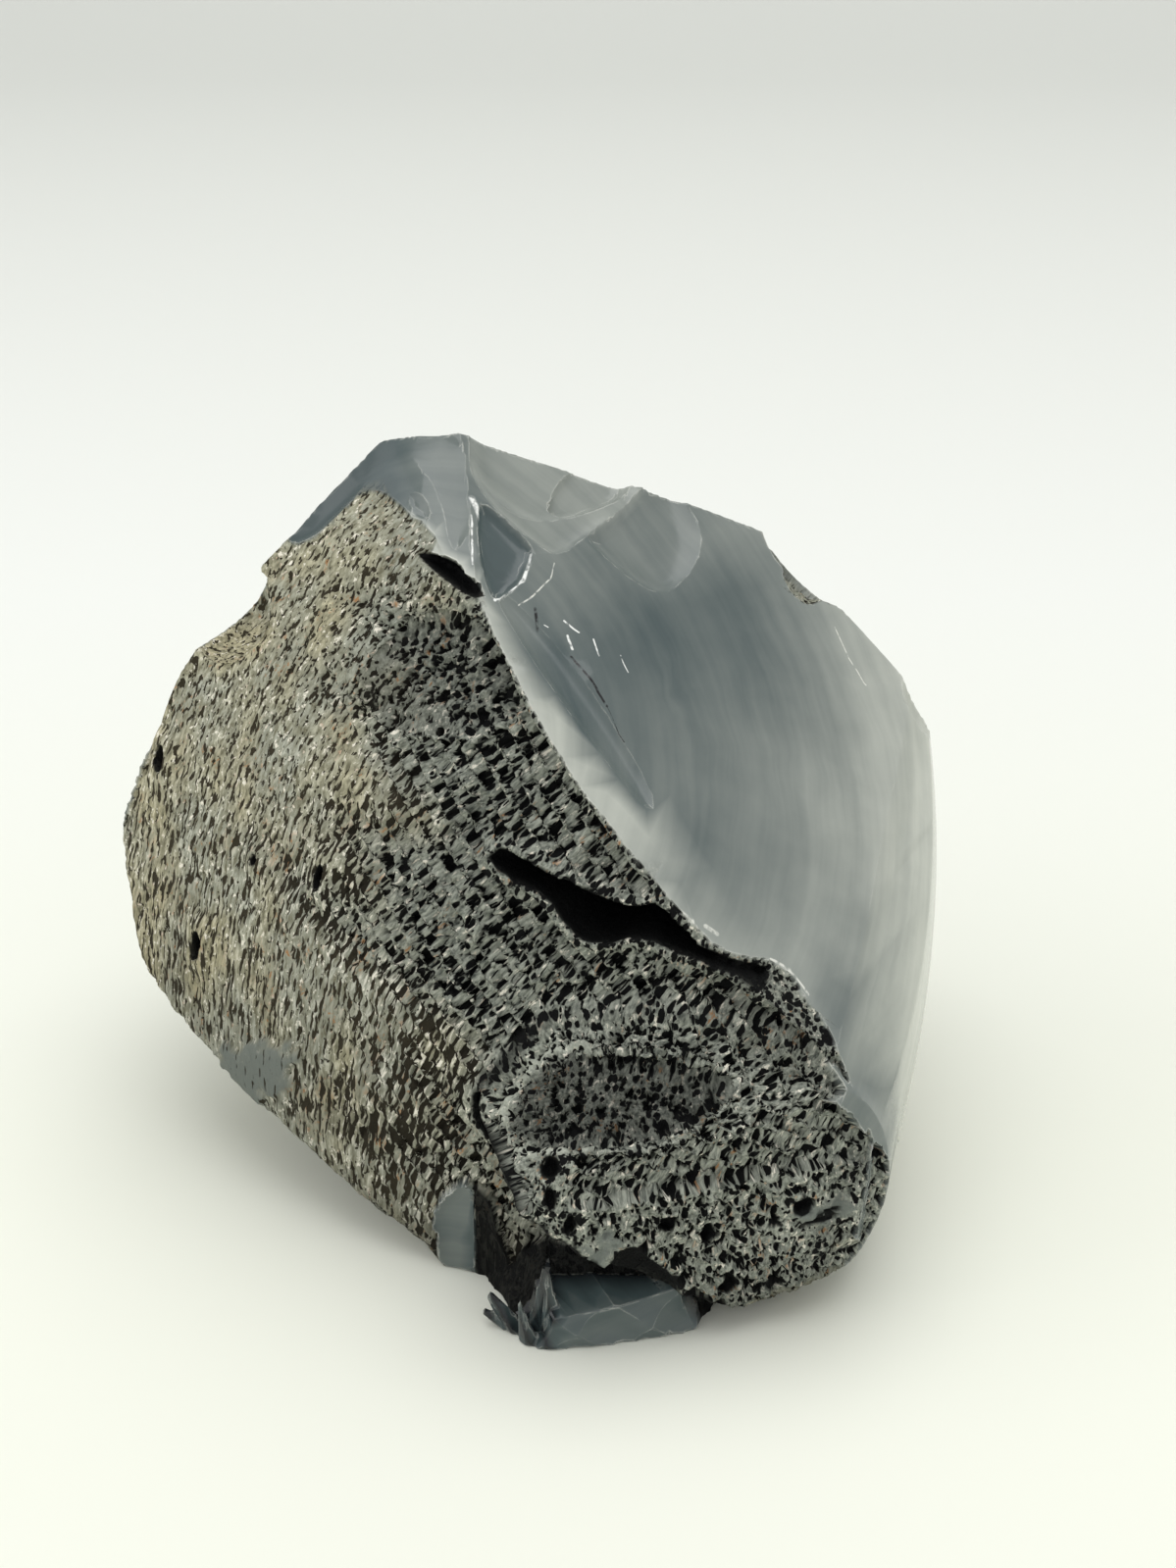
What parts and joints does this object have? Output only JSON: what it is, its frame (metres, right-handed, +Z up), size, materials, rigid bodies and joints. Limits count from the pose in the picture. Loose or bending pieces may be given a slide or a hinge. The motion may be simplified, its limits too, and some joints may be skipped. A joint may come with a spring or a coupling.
{
  "type": "broken obsidian chunk",
  "caption": "Broken lump of obsidian with glossy curved fracture faces, a rough pitted crust and an open fissure, standing on a small flat spot.",
  "frame": {"origin": "middle of the bounding box in plan, on the surface that the chunk stands on", "axes": "+Z up, +X to the right of the crusted front, -Y towards the viewer of the crusted front"},
  "size_m": [0.1171, 0.0995, 0.104],
  "materials": {
    "obsidian": "satin volcanic glass on the fracture faces, matt pitted crust on the rest"
  },
  "bodies": {
    "root": {"obsidian_chunk": "obsidian"}
  },
  "joints": []
}
